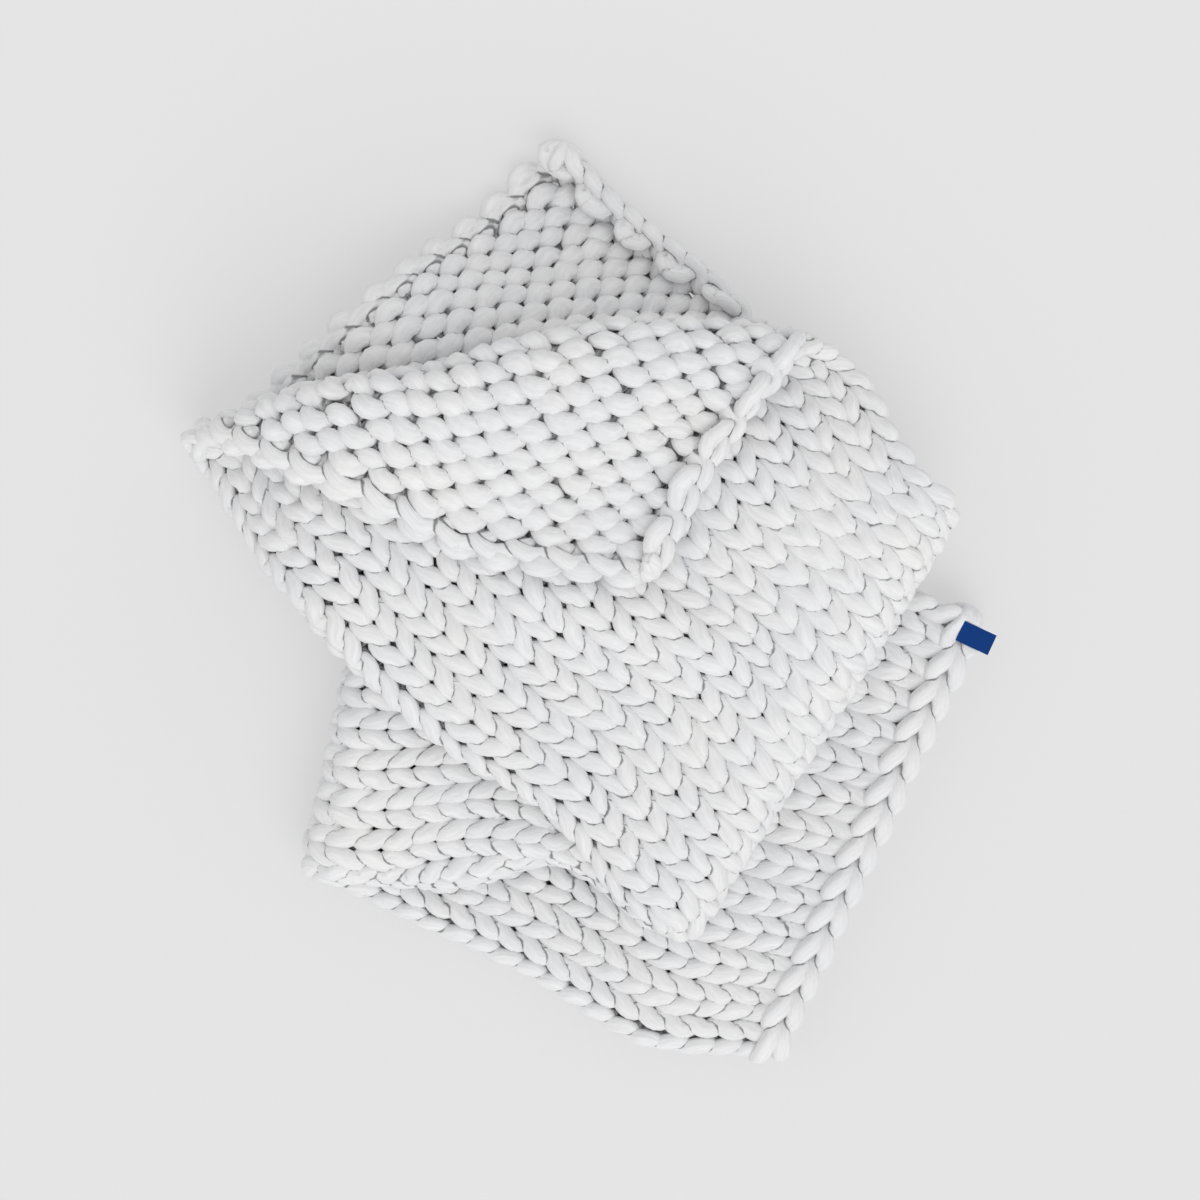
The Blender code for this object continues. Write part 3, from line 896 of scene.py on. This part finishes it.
def chain_yarn(links, middle_v, middle_out, tilt, half_length, inner, outer, depth, width,
               thickness):
    """Work out a chain along the sheet's width: each link is one closed ring of yarn.

    Round a link the yarn goes along by cos t and a tenth of cos 3t. It goes aside by sin t and
    a sixth of sin 3t, less a share of sin 2t that draws in its foot and widens its head. It
    stands by -cos 2t less a share of cos t, so that only its two legs show. The link's plane
    is tilted from the sheet's by an angle.
    """
    t = np.linspace(0.0, 2 * pi, RINGS_IN_LINK, endpoint=False)[None, :]
    pitch = 2 * HALF_WIDTH / links
    link = (np.arange(links) + 0.5)[:, None] * pitch - HALF_WIDTH
    errors = chance.normal(0.0, UNEVENNESS, (3, links, 1))
    u = link + half_length * (np.cos(t) + LINK_SQUARENESS[0] * np.cos(3 * t)) + errors[0]
    legs = (np.sin(t) + LINK_SQUARENESS[1] * np.sin(3 * t)) / LEGS_MOST
    aside = (inner + outer) / 2 * legs - (outer - inner) / 2 * np.sin(2 * t)
    stand = -depth * (np.cos(2 * t) + LINK_LEAN * np.cos(t))
    v = middle_v + aside * cos(tilt) + stand * sin(tilt) + errors[1]
    out = middle_out - aside * sin(tilt) + stand * cos(tilt)
    out = np.where(u < 0, TUCKED_OUT * out, out)
    shape = v.shape
    flat_centre = np.stack([np.broadcast_to(u, shape), v, out], axis=-1)
    centre, normal = on_sheet(*np.moveaxis(flat_centre, -1, 0))
    bare = np.full(shape, 2 * thickness)
    crossing = np.cos(t) ** 2 + 0.0 * link
    half_width = width * (1 - LINK_NECK[0] * crossing)
    half_thickness = thickness * (1 - LINK_NECK[1] * crossing)
    along = np.arange(RINGS_IN_LINK + 1) * (2 * pi / RINGS_IN_LINK) * half_length / UV_UNIT
    along = np.broadcast_to(along, (links, RINGS_IN_LINK + 1))

    def gap_to_links(ring):
        """Find how far points round a link are from the links before and after it."""
        nearest = np.full(ring.shape[:3], FAR)
        for away in (-1, 1):
            other = np.roll(centre, away, axis=0)
            for sample in range(other.shape[1]):
                found = np.linalg.norm(ring - other[:, None, None, sample], axis=-1) - thickness
                nearest = np.minimum(nearest, found)
        return nearest

    return (
        centre, normal, flat_centre, gap_to_links, bare, half_width, half_thickness, along, True
    )


CHAINS = {
    "bind_off_chain": dict(links=28, middle_v=-0.001, middle_out=0.0085, tilt=radians(-8),
                           half_length=0.0245, inner=0.0034, outer=0.0122, depth=0.0064,
                           width=0.0098, thickness=0.0074),
    "cast_on_chain": dict(links=30, middle_v=SHEET_LENGTH - 0.007, middle_out=-0.0010,
                          tilt=radians(80), half_length=0.0228, inner=0.0032, outer=0.0102,
                          depth=0.0056, width=0.0090, thickness=0.0071),
}
for name, sizes in CHAINS.items():
    piece = tube_mesh(name, *chain_yarn(**sizes))
    piece.data.materials.append(yarn)
    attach(piece, "root")
    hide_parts("blanket")


# ---------------------------------------------------------------------------------------------
# The label tab
# A small tab of plain-woven polyester tape, folded and sewn on at the corner of the bind-off
# edge. It is left blank.
# ---------------------------------------------------------------------------------------------

THREADS_PER_METRE = 2400.0
TAPE_BLUE = (0.0035, 0.050, 0.245, 1)
TAPE_SHADE = (0.0025, 0.036, 0.180, 1)


def make_weave_group():
    """Make the tape's plain weave: warp and weft threads that cross over and under.

    Each set of threads is a sine across the tape's own directions. Their product is the weave's
    height, from 0 to 1. The tint is that height times a soft noise: painted shade where the
    threads dip under, varied at random.
    """
    group = bpy.data.node_groups.new("tape_weave", "ShaderNodeTree")
    group.interface.new_socket("Tint", in_out="OUTPUT", socket_type="NodeSocketFloat")
    group.interface.new_socket("Height", in_out="OUTPUT", socket_type="NodeSocketFloat")
    link = group.links.new
    end = add_node(group, "NodeGroupOutput", (700, 0))
    place = add_node(group, "ShaderNodeTexCoord", (-900, 0))
    turned = add_node(group, "ShaderNodeMapping", (-700, 0), Rotation=(0, 0, -LABEL_ANGLE))
    link(place.outputs["Object"], turned.inputs["Vector"])
    parts = add_node(group, "ShaderNodeSeparateXYZ", (-500, 0))
    link(turned.outputs["Vector"], parts.inputs[0])
    waves = []
    for axis, row in (("X", 100), ("Y", -100)):
        threads = add_node(group, "ShaderNodeMath", (-300, row), {"operation": "MULTIPLY"})
        threads.inputs[1].default_value = pi * THREADS_PER_METRE
        link(parts.outputs[axis], threads.inputs[0])
        wave = add_node(group, "ShaderNodeMath", (-100, row), {"operation": "SINE"})
        link(threads.outputs[0], wave.inputs[0])
        waves.append(wave)
    crossed = add_node(group, "ShaderNodeMath", (100, 0), {"operation": "MULTIPLY"})
    link(waves[0].outputs[0], crossed.inputs[0])
    link(waves[1].outputs[0], crossed.inputs[1])
    height = add_node(group, "ShaderNodeMapRange", (300, 0), From_Min=-1.0, From_Max=1.0)
    link(crossed.outputs[0], height.inputs["Value"])
    cloud = add_node(group, "ShaderNodeTexNoise", (100, -300), Scale=180.0, Detail=2.0)
    link(place.outputs["Object"], cloud.inputs["Vector"])
    mixed = add_node(group, "ShaderNodeMath", (500, -200), {"operation": "MULTIPLY"})
    link(height.outputs["Result"], mixed.inputs[0])
    link(cloud.outputs["Fac"], mixed.inputs[1])
    link(mixed.outputs[0], end.inputs["Tint"])
    link(height.outputs["Result"], end.inputs["Height"])
    return group


tape = bpy.data.materials.new("woven_tape")
tape.use_nodes = True
tree = tape.node_tree
link = tree.links.new
shader = tree.nodes["Principled BSDF"]
shader.inputs["Roughness"].default_value = 0.75
shader.inputs["Specular IOR Level"].default_value = 0.12
shader.inputs["Sheen Weight"].default_value = 0.03
weave = add_node(tree, "ShaderNodeGroup", (-700, 0), {"node_tree": make_weave_group()})
# The tape goes from TAPE_BLUE to the painted shade TAPE_SHADE where the weave dips
blues = add_node(tree, "ShaderNodeMix", (-400, 200), {"data_type": "RGBA"})
blues.inputs[6].default_value = TAPE_SHADE
blues.inputs[7].default_value = TAPE_BLUE
link(weave.outputs["Tint"], blues.inputs["Factor"])
link(blues.outputs[2], shader.inputs["Base Color"])
bump = add_node(tree, "ShaderNodeBump", (-400, -200), Strength=0.4, Distance=0.0002)
link(weave.outputs["Height"], bump.inputs["Height"])
link(bump.outputs["Normal"], shader.inputs["Normal"])
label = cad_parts["label_tab"]
label.data.materials.clear()
label.data.materials.append(tape)


# ---------------------------------------------------------------------------------------------
# The floor, the light and the camera
# A matt, light grey studio floor with no edge in view. Daylight comes softly from all round and
# a little more from the near right, and the camera looks straight down.
# ---------------------------------------------------------------------------------------------

FLOOR_SIZE = 12.0
FLOOR_GREY = (0.42, 0.42, 0.42, 1)
bpy.ops.mesh.primitive_plane_add(size=FLOOR_SIZE)
floor = bpy.context.object
floor.name = "floor"
paint = bpy.data.materials.new("floor_paint")
paint.use_nodes = True
shader = paint.node_tree.nodes["Principled BSDF"]
shader.inputs["Base Color"].default_value = FLOOR_GREY
shader.inputs["Emission Color"].default_value = (1, 1, 1, 1)
shader.inputs["Emission Strength"].default_value = 0.36
shader.inputs["Roughness"].default_value = 1.0
shader.inputs["Specular IOR Level"].default_value = 0.0
floor.data.materials.append(paint)

world = bpy.data.worlds.new("studio")
world.use_nodes = True
world.node_tree.nodes["Background"].inputs["Color"].default_value = (1, 1, 1, 1)
world.node_tree.nodes["Background"].inputs["Strength"].default_value = 0.78
bpy.context.scene.world = world

sun = bpy.data.lights.new("soft_key", "SUN")
sun.energy = 0.95
sun.angle = radians(50)
sun_object = bpy.data.objects.new("soft_key", sun)
sun_object.rotation_euler = (radians(38), radians(14), 0)
bpy.context.scene.collection.objects.link(sun_object)

CAMERA_HEIGHT = 3.2
VIEW_HEIGHT = 0.10       # at which the view is as wide as stated
VIEW_WIDTH = 1.2
camera = bpy.data.cameras.new("camera")
camera.lens = camera.sensor_width * (CAMERA_HEIGHT - VIEW_HEIGHT) / VIEW_WIDTH
camera_object = bpy.data.objects.new("camera", camera)
camera_object.location = (0.0068, 0.002, CAMERA_HEIGHT)
bpy.context.scene.collection.objects.link(camera_object)
bpy.context.scene.camera = camera_object
bpy.context.scene.view_settings.view_transform = "Standard"
